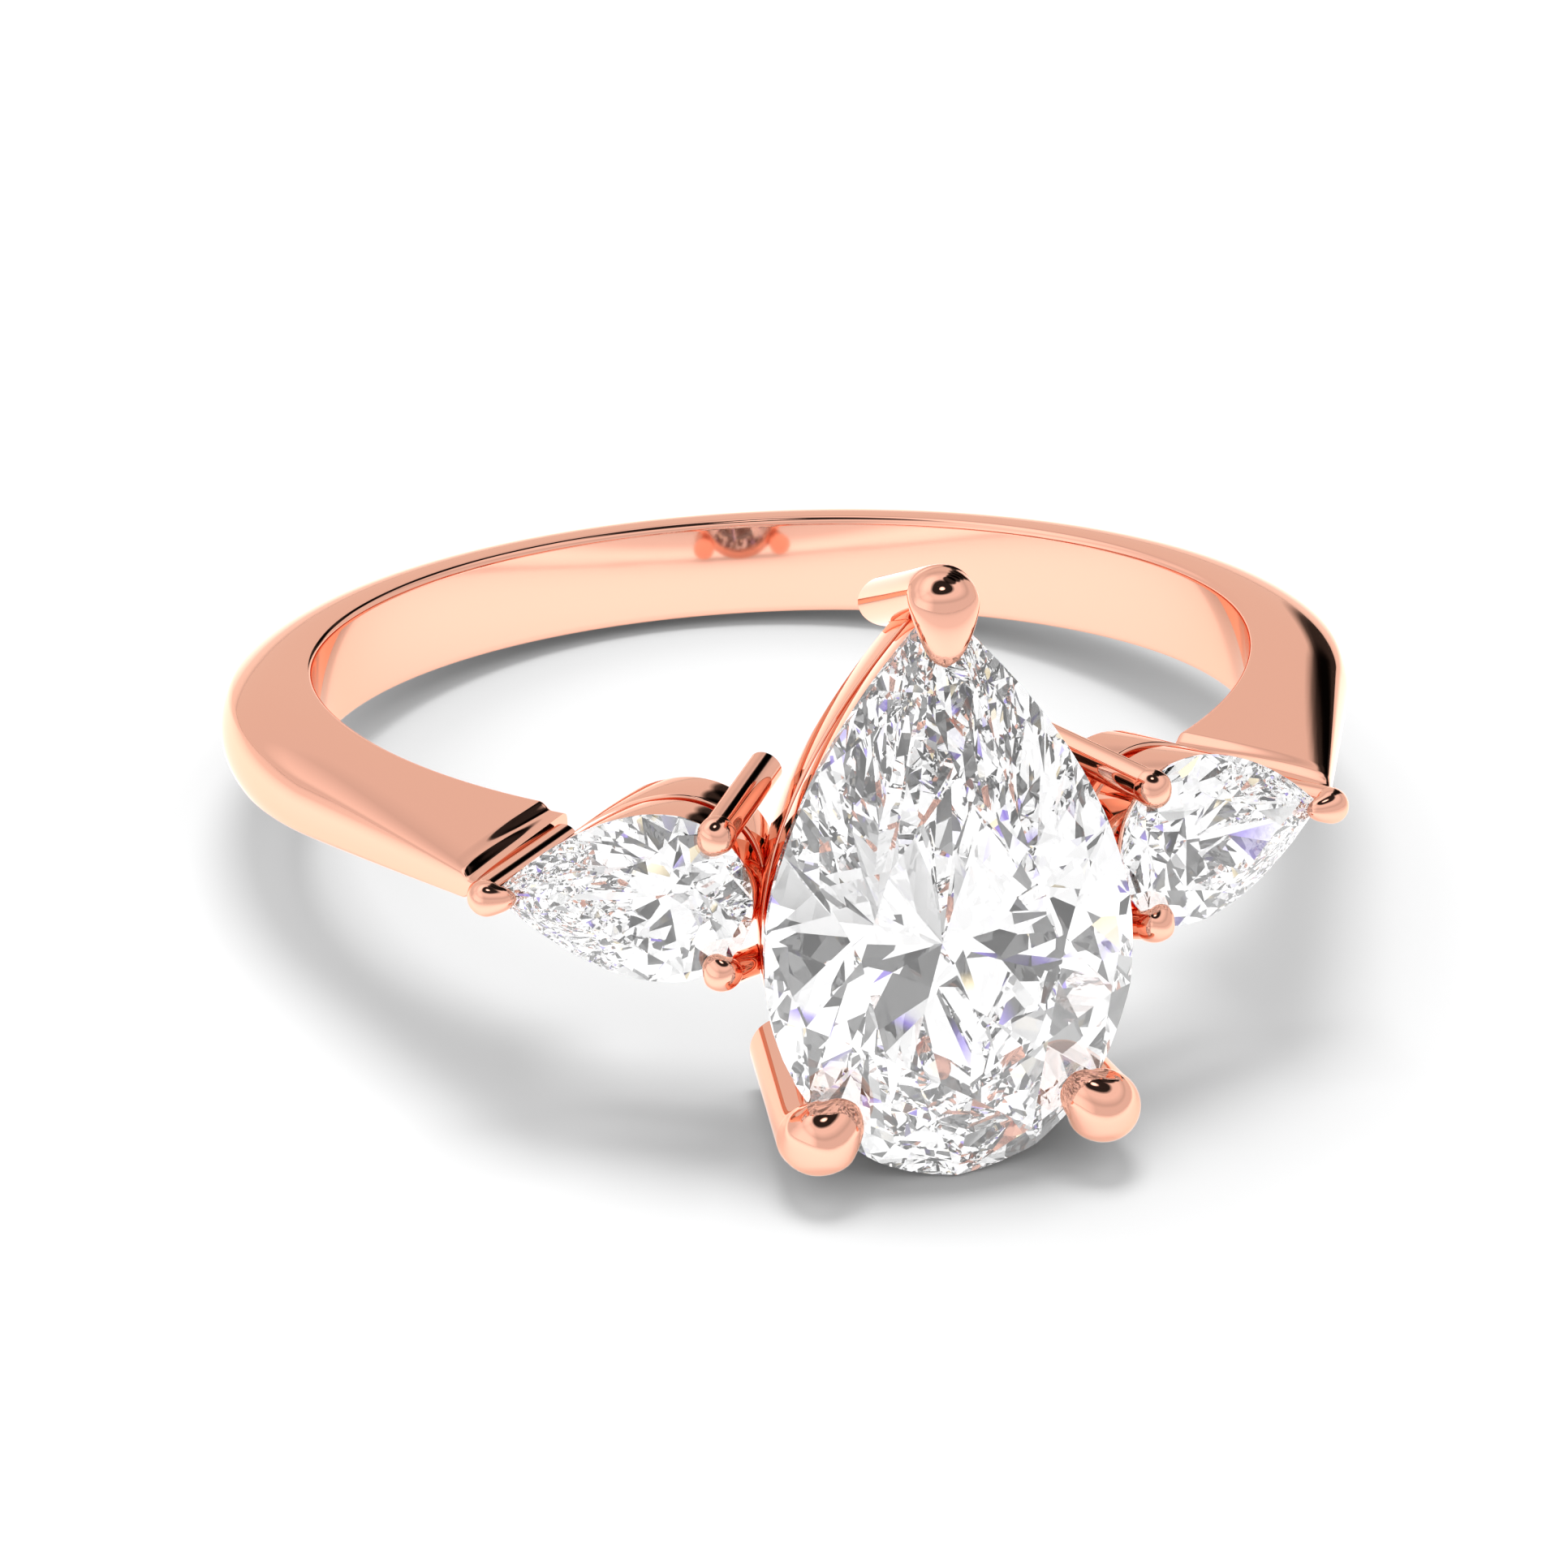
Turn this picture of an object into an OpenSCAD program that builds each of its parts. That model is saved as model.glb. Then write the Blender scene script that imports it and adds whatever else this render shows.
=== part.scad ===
// Three-stone engagement ring: a tapered band, a large pear-cut centre stone
// and two small pear-cut side stones, each held by three claws on a basket of
// two rails. All lengths are in millimetres.
//
// Ring frame: the finger hole runs along Z and the head looks along -Y.
// The finished ring is tipped about X, as it lies on a table.
// Stone frame: X across the stone, Y towards its point, Z out of its face,
// with the origin on the girdle where the stone is widest.

/* [Band] */
// Inside diameter of the finger hole
finger_d = 16.5; // [14:0.1:21]
// Width of the band along the finger
band_w = 1.85; // [1.4:0.05:3]
// Thickness of the band's flat side, from the finger hole to the ridge
side_h = 1.1; // [0.7:0.05:1.6]
// Height of the domed outside above the ridge
dome_h = 0.59; // [0.3:0.01:0.9]
// Extra thickness that the band gains from its back to its shoulders
shoulder_gain = 0.32; // [0:0.02:0.6]
// Width of a shoulder where it meets its side stone
shoulder_w = 0.6; // [0.5:0.05:1.2]

/* [Centre stone] */
// Length from the point to the round end
centre_l = 9.73; // [8.5:0.05:11]
// Width at the widest line
centre_w = 6.18; // [5.4:0.02:7]
// Length of the round end, from the widest line
centre_round = 3.83; // [3.2:0.05:4.4]
// Height of the girdle above the finger hole
centre_lift = 3.44; // [3.2:0.05:4.2]

/* [Side stones] */
// Length from the point to the round end
side_l = 4.33; // [3.8:0.05:5]
// Width at the widest line
side_w = 2.86; // [2.5:0.02:3.4]
// Length of the round end, from the widest line
side_round = 1.48; // [1.2:0.02:1.8]
// Height of the girdle plane above the finger hole
side_lift = 3.13; // [2.9:0.05:3.8]
// Angle between the side stones' faces and the centre stone's face
side_turn = 25; // [20:1:32]
// Sideways gap between the centre stone and each side stone
side_gap = 0; // [0:0.02:0.3]

/* [Cut] */
// Fullness of the curved wings, where 1 is straight
wing_power = 1.91; // [1.6:0.01:2.3]
// Crown height as a share of the stone's width
crown_share = 0.15; // [0.1:0.01:0.18]
// Pavilion depth as a share of the stone's width
pavilion_share = 0.43; // [0.38:0.01:0.46]
// Table size as a share of the outline
table_share = 0.56; // [0.5:0.01:0.66]
// Girdle thickness as a share of the stone's width
girdle_share = 0.03; // [0.02:0.005:0.05]

/* [Baskets] */
// Inward lean of the centre basket's flanks, in degrees
centre_lean = 8; // [4:1:12]
// Inward lean of the centre basket at the stone's point, in degrees
centre_tip_lean = 14; // [10:1:20]
// Inward lean of the side baskets' flanks, in degrees
side_lean = 0; // [0:1:10]
// Inward lean of the side baskets at the stones' points, in degrees
side_tip_lean = 12; // [6:1:18]
// How far the rails' outer wall stays inside the girdle
rail_in = 0.05; // [0.03:0.01:0.12]
// Wall thickness of the rails
rail_t = 0.42; // [0.3:0.02:0.6]
// Depth of the top rail below the girdle
top_rail_h = 1; // [0.8:0.05:1.2]
// Open gap between the two rails
rail_gap = 0.24; // [0.15:0.01:0.4]
// Height of the base rail
base_rail_h = 1; // [0.7:0.05:1.2]

/* [Claws] */
// Diameter of the centre stone's two round-end claws
centre_claw_d = 1.12; // [0.9:0.02:1.3]
// Reach of those claws over the crown
centre_claw_reach = 0.62; // [0.4:0.02:0.9]
// Width of the centre stone's point claw
point_claw_w = 1.06; // [0.9:0.02:1.5]
// Thickness of the point claw's leg
point_claw_t = 0.84; // [0.6:0.02:1.1]
// Reach of the point claw over the crown
point_claw_reach = 0.95; // [0.7:0.01:1.3]
// Inward lean of the point claw's leg, in degrees
point_claw_lean = 18; // [12:1:20]
// Diameter of the side stones' point claws
side_point_claw_d = 0.54; // [0.46:0.02:0.8]
// Reach of those claws over the crown
side_point_claw_reach = 0.44; // [0.3:0.02:0.6]
// Diameter of the side stones' round-end claws
side_claw_d = 0.5; // [0.4:0.02:0.7]
// Width of the same claws, along the stone's edge
side_claw_w = 0.58; // [0.46:0.02:0.8]
// Outward splay of those round-end claws' legs, in degrees
side_claw_splay = 13; // [6:1:16]
// Reach of the same claws over the crown
side_claw_reach = 0.3; // [0.2:0.02:0.5]
// Clearance between a stone and the metal round it
seat_gap = 0.02; // [0.01:0.01:0.06]

/* [Hidden] */
$fn = 96;
rose_gold = [0.9, 0.66, 0.55];
diamond = [0.88, 0.93, 0.97, 0.6];
far = 40;      // longer than the ring in any direction
sliver = 0.01; // overlap that keeps a cut clean

// A pear is a list: length, width, length of the round end, fullness, and the
// inward lean of its basket at the flanks and at the point.
centre_pear = [centre_l, centre_w, centre_round, wing_power, centre_lean, centre_tip_lean];
side_pear = [side_l, side_w, side_round, wing_power, side_lean, side_tip_lean];

// Steps round an outline: 0 at the point, mains at every whole step.
mains = 8;
wing_steps = 2.25; // the step where the stone is widest
fine = 7;          // straight pieces in each step
centre_claw_step = 3.1;
side_claw_step = 3;
tip_ratio = 1.35;  // how much faster the point retreats when an outline shrinks
star_share = 0.5;   // how far down the crown the star facets reach
lower_share = 0.72; // how far down the pavilion the lower half facets reach

finger_r = finger_d / 2;

// Vectors
function unit(v) = v / norm(v);
function up(p, z) = [p.x, p.y, z];
// Where three planes meet, each given as [normal, point]
function meet(a, b, c) =
    (a[0] * a[1] * cross(b[0], c[0]) + b[0] * b[1] * cross(c[0], a[0])
        + c[0] * c[1] * cross(a[0], b[0])) / (a[0] * cross(b[0], c[0]));
// The plane through three points, with its normal away from the inner point
function plane(p, q, r, inner) =
    let (n = unit(cross(q - p, r - p)), s = n * (p - inner) > 0 ? 1 : -1) [s * n, p];

// Pear outline
function pear_point(q, pear) =
    let (
        a = pear[1] / 2,
        w = pear[0] - pear[2],
        m = q <= mains / 2 ? q : mains - q,
        s = q <= mains / 2 ? 1 : -1,
        u = 1 - m / wing_steps,
        t = 90 * (m - wing_steps) / (mains / 2 - wing_steps)
    )
    m <= wing_steps ? [s * a * (1 - pow(u, pear[3])), w * u] : [s * a * cos(t), -pear[2] * sin(t)];
function wrap(q) = q < 0 ? q + mains : q > mains ? q - mains : q;
function pear_tangent(q, pear) =
    unit(pear_point(wrap(q + 0.02), pear) - pear_point(wrap(q - 0.02), pear));
function pear_normal(q, pear) =
    let (t = pear_tangent(q, pear)) [-t.y, t.x];
// A pear shrunk by one inset all round, or by another one at its point
function shrunk(pear, o, tip) =
    [pear[0] - o - tip, pear[1] - 2 * o, pear[2] - o, pear[3], pear[4], pear[5]];
function inset(pear, o) = shrunk(pear, o, tip_ratio * o);
function pear_outline(pear) =
    [for (i = [0:mains * fine - 1]) pear_point(i / fine, pear)];

// Solid skins through a list of rings with equal numbers of points
function ring_faces(rings, n, closed) =
    [for (i = [0:rings - (closed ? 1 : 2)]) for (j = [0:n - 1])
        let (k = (j + 1) % n, u = (i + 1) % rings)
            each [[i * n + j, u * n + j, u * n + k], [i * n + j, u * n + k, i * n + k]]];
module loft(rings) {
    n = len(rings[0]);
    last = (len(rings) - 1) * n;
    polyhedron(
        points = [for (ring = rings) each ring],
        faces = concat(
            ring_faces(len(rings), n, false),
            [[for (j = [0:n - 1]) j], [for (j = [n - 1:-1:0]) last + j]]
        ),
        convexity = 6
    );
}
module closed_loft(rings) {
    polyhedron(
        points = [for (ring = rings) each ring],
        faces = ring_faces(len(rings), len(rings[0]), true),
        convexity = 6
    );
}

// Brilliant-cut pear stone
module half_space(pl) {
    n = pl[0];
    translate(pl[1])
        rotate([0, acos(n.z), atan2(n.y, n.x)])
            translate([-far / 2, -far / 2, -far])
                cube(far);
}
// Main facets through the girdle point, along the outline, towards the apex
function main_planes(pear, girdle_z, apexes) =
    [for (i = [0:mains - 1])
        let (b = up(pear_point(i, pear), girdle_z), t = up(pear_tangent(i, pear), 0))
            plane(b, b + t, apexes[i], [0, 0, 0])];
function half_facets(pear, girdle_z, ridge) =
    [for (i = [0:mains - 1])
        let (g = up(pear_point(i + 0.5, pear), girdle_z))
            each [
                plane(ridge[i], up(pear_point(i, pear), girdle_z), g, [0, 0, 0]),
                plane(ridge[i], up(pear_point(i + 1, pear), girdle_z), g, [0, 0, 0])
            ]];
function ridge_points(planes, z) =
    [for (i = [0:mains - 1]) meet(planes[i], planes[(i + 1) % mains], [[0, 0, 1], [0, 0, z]])];
function facets(pear) =
    let (
        crown = pear[1] * crown_share,
        depth = pear[1] * pavilion_share,
        g = pear[1] * girdle_share / 2,
        table = [for (i = [0:mains - 1]) up(table_share * pear_point(i, pear), g + crown)],
        crown_mains = main_planes(pear, g, table),
        stars = ridge_points(crown_mains, g + crown * star_share),
        culet = [for (i = [0:mains - 1]) [0, 0, -g - depth]],
        pavilion_mains = main_planes(pear, -g, culet),
        lower = ridge_points(pavilion_mains, -g - depth * lower_share)
    )
    concat(
        [[[0, 0, 1], [0, 0, g + crown]]],
        crown_mains,
        [for (i = [0:mains - 1]) plane(table[i], table[(i + 1) % mains], stars[i], [0, 0, 0])],
        half_facets(pear, g, stars),
        pavilion_mains,
        half_facets(pear, -g, lower)
    );
module stone(pear) {
    intersection_for (f = concat([[]], facets(pear))) {
        if (len(f) == 0)
            linear_extrude(pear[1] * 1.2, center = true) polygon(pear_outline(pear));
        else
            half_space(f);
    }
}

// Basket
// Inset of the basket's outer wall at a depth below the girdle
function wall(pear, d) = rail_in + d * tan(pear[4]);
// The outline at a depth, inside the outer wall by t
function walled(pear, d, t) =
    shrunk(pear, wall(pear, d) + t, tip_ratio * (t + rail_in) + d * tan(pear[5]));
// A section is a list of [inwards from the outer wall, depth]
function section_ring(q, pear, section) =
    [for (s = section) up(pear_point(q, walled(pear, s[1], s[0])), -s[1])];
module rail(pear, section) {
    closed_loft([for (i = [0:mains * fine - 1]) section_ring(i / fine, pear, section)]);
}
chamfer = 0.1;
// Depth where the pavilion's steepest side passes over a place in the rail
function seat_depth(pear, t) =
    let (slope = 2 * pavilion_share, start = pear[1] * girdle_share / 2 + 2 * seat_gap)
    (start + slope * (rail_in + t)) / (1 - slope * tan(pear[4]));
function top_section(pear) =
    [
        [0, seat_depth(pear, 0) + chamfer / 2],
        [chamfer / 2, seat_depth(pear, chamfer / 2)],
        [rail_t, seat_depth(pear, rail_t)],
        [rail_t, top_rail_h],
        [chamfer, top_rail_h],
        [0, top_rail_h - chamfer]
    ];
base_top = top_rail_h + rail_gap;
base_low = base_top + base_rail_h;
base_section = [
    [0, base_top + chamfer],
    [chamfer, base_top],
    [rail_t - chamfer, base_top],
    [rail_t, base_top + chamfer],
    [rail_t, base_low - chamfer],
    [rail_t - chamfer, base_low],
    [chamfer, base_low],
    [0, base_low - chamfer]
];
// The space inside the outer walls of both rails
module basket_space(pear, gap) {
    loft([for (d = [-chamfer, base_low + 2 * sliver])
        [for (p = pear_outline(walled(pear, max(d, 0), -gap))) up(p, -d)]]);
}

// Claws
sides_of_claw = 14;
// One ring of a claw: in the plane of the outline's normal and the stone's face
function claw_ring(q, pear, out, height, slope, r, wide) =
    let (
        n = pear_normal(q, pear),
        base = pear_point(q, pear),
        t = [n.y, -n.x, 0],
        c = [base.x + n.x * out, base.y + n.y * out, height],
        across = [n.x * cos(slope), n.y * cos(slope), sin(slope)]
    )
    [for (k = [0:sides_of_claw - 1])
        let (a = 360 * k / sides_of_claw) c + r * cos(a) * wide * t + r * sin(a) * across];
// Stations of a claw: outward place, height, slope of the ring, radius share
function claw_path(r, o, lean, reach, foot) =
    let (h = r * 0.9)
    [
        [o - foot * tan(lean), -foot, -lean, 1],
        [o - 0.5 * foot * tan(lean), -0.5 * foot, -lean, 1],
        [o, 0, -lean, 1],
        [o, h * 0.5, 5, 1.04],
        [o - r * 0.12, h * 0.95, 30, 1.08],
        [o - r * 0.45, h * 1.3, 55, 1.06],
        [o * 0.2 - reach * 0.35, h * 1.38, 72, 0.96],
        [-reach * 0.68, h * 1.28, 82, 0.78],
        [-reach * 0.9, h * 1.16, 86, 0.5],
        [-reach, h * 1.08, 88, 0.18]
    ];
// The space a claw leaves for its stone, with a wider band round the girdle
module seat(pear) {
    stone(inset(pear, -seat_gap));
    linear_extrude(pear[1] * girdle_share + 4 * seat_gap, center = true)
        polygon(pear_outline(inset(pear, -2 * seat_gap)));
}
// A claw is a list: step round the outline, thickness, width, how far its leg
// stands out from the girdle, reach over the crown, depth of its foot and the
// inward lean of its leg.
module claw(pear, c) {
    r = c[1] / 2;
    difference() {
        loft([for (s = claw_path(r, c[3], c[6], c[4], c[5]))
            claw_ring(c[0], pear, s[0], s[1], s[2], r * s[3], c[2] / c[1])]);
        seat(pear);
        basket_space(pear, 0);
    }
}

// Places
centre_plane = finger_r + centre_lift;
side_plane = finger_r + side_lift;
side_slide = (centre_w / 2 + side_gap - side_plane * sin(side_turn)) / cos(side_turn) + side_round;
centre_shift = centre_round - centre_l / 2; // centres the stone's length on the band
module in_centre() {
    translate([0, -centre_plane, centre_shift]) rotate([90, 0, 0]) children();
}
// The right side stone: its point looks outwards and its X runs down the finger
module in_right() {
    rotate([0, 0, side_turn]) translate([side_slide, -side_plane, 0])
        rotate([90, 0, 0]) rotate([0, 0, -90]) children();
}
// A point of the right stone frame, with no X, in the band's plane
function right_point(y, z) =
    let (e = [cos(side_turn), sin(side_turn)], n = [sin(side_turn), -cos(side_turn)])
    (side_slide + y) * e + (side_plane + z) * n;

// Feet stop short of the finger hole
foot_gap = 0.12;
centre_foot = centre_lift - foot_gap;
side_foot = side_lift - 2 * foot_gap;
leg_out = 0.12;   // how far a side point claw's leg stands out from the girdle
leg_share = 0.25; // how far the other legs stand out, as a share of their thickness
centre_claw = [centre_claw_step, centre_claw_d, centre_claw_d, centre_claw_d * leg_share,
    centre_claw_reach, centre_foot, centre_lean];
point_claw = [0, point_claw_t, point_claw_w, point_claw_t * leg_share,
    point_claw_reach, centre_foot, point_claw_lean];
side_claw = [side_claw_step, side_claw_d, side_claw_w, side_claw_d * leg_share,
    side_claw_reach, base_low - chamfer, -side_claw_splay];
side_point_claw = [0, side_point_claw_d, side_point_claw_d, leg_out,
    side_point_claw_reach, side_foot, side_tip_lean];
function opposite(c) = [for (i = [0:len(c) - 1]) i == 0 ? mains - c[0] : c[i]];

// Band
leg_tip = side_l - side_round + leg_out;
leg_head = right_point(leg_tip, 0);
leg_foot = right_point(leg_tip - side_foot * tan(side_tip_lean), -side_foot);
function below(p) = atan2(-p.y, p.x);
end_early = 1.2; // the shoulder stops this many degrees before the leg's middle
end_angle = (below(leg_head) + below(leg_foot)) / 2 - end_early;
outer_r = finger_r + side_h + dome_h;
ridge_r = finger_r + side_h;
band_shift = shoulder_gain / 2;
dome_r = (pow(band_w / 2, 2) + pow(dome_h, 2)) / (2 * dome_h);
shoulder_top = leg_head + unit(leg_head) * side_point_claw_d * 0.2 + [0, band_shift];
start_angle = below(shoulder_top) - acos(outer_r / norm(shoulder_top));
// The straight shoulder leaves the round part of the band at start_angle
shoulder_end = norm(shoulder_top) * sin(below(shoulder_top) - start_angle);
shoulder_l = shoulder_end + 1; // long enough to be cut off at the end
taper_back = 3;  // the taper begins this far before the straight shoulder
taper_steps = 10;
taper_power = 1.3; // how late the taper narrows, where 1 is straight
overlap = 0.3;
section_depth = outer_r / 2; // reaches into the finger hole
hollow_r = 1.1;      // radius of the hollow that ends each flat side at the leg
hollow_depth = 0.07;
// Half width of the band at a place along the straight shoulder
function half_width(s) =
    let (share = (s + taper_back) / (shoulder_end + taper_back))
    (band_w - (band_w - shoulder_w) * pow(share, taper_power)) / 2;
// Section of the band, with X outwards from its crest and Y across
module band_section(depth) {
    intersection() {
        translate([-depth, -band_w / 2]) square([depth + 1, band_w]);
        union() {
            translate([-dome_r, 0]) circle(dome_r);
            translate([-depth - 1, -band_w]) square([depth + 1 - dome_r, 2 * band_w]);
        }
    }
}
// Places X on the radius through the start of the right shoulder, with the
// origin on the crest and Y running back from the head
module at_shoulder() {
    translate([0, -band_shift, 0]) rotate([0, 0, -start_angle]) translate([outer_r, 0, 0]) children();
}
module shoulder_block() {
    at_shoulder() translate([-sliver, overlap, 0]) rotate([90, 0, 0])
        linear_extrude(shoulder_l + overlap) band_section(section_depth);
}
module taper_cut() {
    last = shoulder_l + overlap;
    at_shoulder() rotate([0, -90, 0]) linear_extrude(2 * section_depth, center = true)
        polygon(concat(
            [[band_w, -last], [band_w, taper_back]],
            [for (i = [0:taper_steps])
                let (t = -taper_back + (last + taper_back) * i / taper_steps) [half_width(t), -t]]
        ));
}
// Removes what lies past the end of the right shoulder
module end_cut() {
    rotate([0, 0, -end_angle]) translate([finger_r * 0.6, -far, -far / 2]) cube(far);
}
// Follows the leg of the right side stone's point claw
module along_leg() {
    in_right() translate([0, leg_tip, 0]) rotate([-side_tip_lean, 0, 0]) children();
}
module leg_seat() {
    along_leg() cylinder(r = side_point_claw_d / 2 + seat_gap, h = 3 * side_foot, center = true);
}
module end_hollow() {
    along_leg()
        translate([shoulder_w / 2 + hollow_r - hollow_depth, side_point_claw_d / 2, 0])
            cylinder(r = hollow_r, h = 3 * side_foot, center = true);
}
module both() {
    children();
    mirror([1, 0, 0]) children();
}
module shank_solid() {
    difference() {
        union() {
            translate([0, -band_shift, 0]) rotate([0, 0, -start_angle])
                rotate_extrude(angle = 180 + 2 * start_angle)
                    translate([outer_r, 0]) band_section(outer_r - finger_r + 1);
            both() shoulder_block();
        }
        cylinder(r = finger_r, h = far, center = true);
        both() taper_cut();
        mirror([0, 0, 1]) both() taper_cut();
        both() end_cut();
        both() leg_seat();
        both() end_hollow();
        mirror([0, 0, 1]) both() end_hollow();
    }
}

// The finished ring lies on the back of its band and on the centre stone's end
band_back = ridge_r - band_shift;
stone_low = centre_shift - centre_round;
rest_tilt = atan2(-stone_low - band_w / 2, centre_plane + band_back);
module laid() {
    rotate([-rest_tilt, 0, 0]) children();
}

// Pieces
module shank() {
    color(rose_gold) laid() shank_solid();
}
module centre_stone() {
    color(diamond) laid() in_centre() stone(centre_pear);
}
module centre_top_rail() {
    color(rose_gold) laid() in_centre() rail(centre_pear, top_section(centre_pear));
}
module centre_base_rail() {
    color(rose_gold) laid() in_centre() rail(centre_pear, base_section);
}
module held_centre(c) {
    color(rose_gold) laid() in_centre() claw(centre_pear, c);
}
module centre_point_claw() {
    held_centre(point_claw);
}
module centre_right_claw() {
    held_centre(centre_claw);
}
module centre_left_claw() {
    held_centre(opposite(centre_claw));
}
module side_rail(section) {
    color(rose_gold) difference() {
        in_right() rail(side_pear, section);
        in_centre() basket_space(centre_pear, seat_gap);
    }
}
module held_side(c) {
    color(rose_gold) difference() {
        in_right() claw(side_pear, c);
        in_centre() basket_space(centre_pear, seat_gap);
    }
}
module left() {
    laid() mirror([1, 0, 0]) children();
}
module right_stone() {
    color(diamond) laid() in_right() stone(side_pear);
}
module left_stone() {
    color(diamond) left() in_right() stone(side_pear);
}
module right_top_rail() {
    laid() side_rail(top_section(side_pear));
}
module left_top_rail() {
    left() side_rail(top_section(side_pear));
}
module right_base_rail() {
    laid() side_rail(base_section);
}
module left_base_rail() {
    left() side_rail(base_section);
}
module right_point_claw() {
    laid() held_side(side_point_claw);
}
module left_point_claw() {
    left() held_side(side_point_claw);
}
module right_upper_claw() {
    laid() held_side(opposite(side_claw));
}
module left_upper_claw() {
    left() held_side(opposite(side_claw));
}
module right_lower_claw() {
    laid() held_side(side_claw);
}
module left_lower_claw() {
    left() held_side(side_claw);
}

shank();
centre_stone();
centre_top_rail();
centre_base_rail();
centre_point_claw();
centre_left_claw();
centre_right_claw();
left_stone();
left_top_rail();
left_base_rail();
left_point_claw();
left_upper_claw();
left_lower_claw();
right_stone();
right_top_rail();
right_base_rail();
right_point_claw();
right_upper_claw();
right_lower_claw();
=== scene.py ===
"""A three-stone engagement ring in polished rose gold, lying on a pale floor.

The stones are the nodes of the packed model. The band, the gallery rails and the claws are
rebuilt here as smooth meshes over the same outlines, and each stands for its node.

Ring frame: the finger hole runs along Z and the head looks along -Y.
Stone frame: X across the stone, Y towards its point, Z out of its face, with the origin on
the girdle where the stone is widest.
"""
from collections import namedtuple
from math import acos, asin, atan2, cos, pi, radians, sin, sqrt, tan

import bmesh
import bpy
import numpy as np
from mathutils import Matrix, Vector


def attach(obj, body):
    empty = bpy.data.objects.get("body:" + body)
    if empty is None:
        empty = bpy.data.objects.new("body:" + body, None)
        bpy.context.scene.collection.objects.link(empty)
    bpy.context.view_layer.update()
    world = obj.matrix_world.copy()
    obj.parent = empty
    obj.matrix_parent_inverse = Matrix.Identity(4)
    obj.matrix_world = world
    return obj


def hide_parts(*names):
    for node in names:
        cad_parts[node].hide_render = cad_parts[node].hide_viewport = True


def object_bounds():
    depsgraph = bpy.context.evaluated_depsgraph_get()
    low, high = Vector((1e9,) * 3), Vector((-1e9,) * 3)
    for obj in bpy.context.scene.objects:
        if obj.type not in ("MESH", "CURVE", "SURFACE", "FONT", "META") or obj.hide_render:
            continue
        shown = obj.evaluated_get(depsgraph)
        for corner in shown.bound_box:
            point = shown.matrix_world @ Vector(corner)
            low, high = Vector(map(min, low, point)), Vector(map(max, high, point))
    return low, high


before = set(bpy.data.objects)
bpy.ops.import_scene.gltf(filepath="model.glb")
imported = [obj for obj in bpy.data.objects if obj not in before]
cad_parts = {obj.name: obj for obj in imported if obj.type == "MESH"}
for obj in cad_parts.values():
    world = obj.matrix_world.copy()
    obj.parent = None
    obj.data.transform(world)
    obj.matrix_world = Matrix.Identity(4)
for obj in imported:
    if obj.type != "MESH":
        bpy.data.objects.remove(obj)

CAD_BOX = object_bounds()

bl_info = {
    "name": "Three-stone engagement ring",
    "version": (1, 0, 0),
    "blender": (4, 5, 0),
    "location": "View3D > Sidebar > Ring",
    "description": "Builds a rose-gold ring with three pear-cut stones",
    "category": "Add Mesh",
}

MM = 0.001


# ---------------------------------------------------------------- settings
def length(name, description, default_mm):
    """A length property, with its default given in millimetres."""
    return bpy.props.FloatProperty(
        name=name, description=description, default=default_mm * MM,
        min=0, precision=5, unit="LENGTH", subtype="DISTANCE")


def angle(name, description, default_degrees):
    """An angle property, with its default given in degrees."""
    return bpy.props.FloatProperty(
        name=name, description=description, default=radians(default_degrees), subtype="ANGLE")


def share(name, description, default, top=1.0):
    """A property that is a plain ratio or level."""
    return bpy.props.FloatProperty(
        name=name, description=description, default=default, min=0, max=top, subtype="FACTOR")


def colour(name, description, default):
    """A colour property."""
    return bpy.props.FloatVectorProperty(
        name=name, description=description, default=default, size=3, min=0, max=1, subtype="COLOR")


class BandSizes(bpy.types.PropertyGroup):
    """Sizes of the band."""
    finger_d: length("Finger hole", "Inside diameter of the band", 16.5)
    width: length("Width", "Width of the band along the finger", 1.85)
    side_h: length("Side height", "Flat side, from the finger hole to the ridge", 1.1)
    dome_h: length("Dome height", "Height of the domed outside above the ridge", 0.59)
    shoulder_gain: length("Shoulder gain", "Extra thickness gained from back to shoulders", 0.32)
    shoulder_w: length("Shoulder width", "Width of a shoulder at its side stone", 0.6)


class StoneSizes(bpy.types.PropertyGroup):
    """Sizes of the three stones and of the metal that follows them."""
    centre_l: length("Centre length", "From the point to the round end", 9.73)
    centre_w: length("Centre width", "At the widest line", 6.18)
    centre_round: length("Centre round end", "From the widest line to the round end", 3.83)
    centre_lift: length("Centre lift", "Girdle above the finger hole", 3.44)
    side_l: length("Side length", "From the point to the round end", 4.33)
    side_w: length("Side width", "At the widest line", 2.86)
    side_round: length("Side round end", "From the widest line to the round end", 1.48)
    side_lift: length("Side lift", "Girdle plane above the finger hole", 3.13)
    side_turn: angle("Side turn", "Between the side stones' and the centre stone's faces", 25)
    wing_power: share("Wing fullness", "Fullness of the curved wings, where 1 is straight", 1.91, 3)
    pavilion: share("Pavilion", "Pavilion depth as a share of a stone's width", 0.43)
    girdle: share("Girdle", "Girdle thickness as a share of a stone's width", 0.03)


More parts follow.
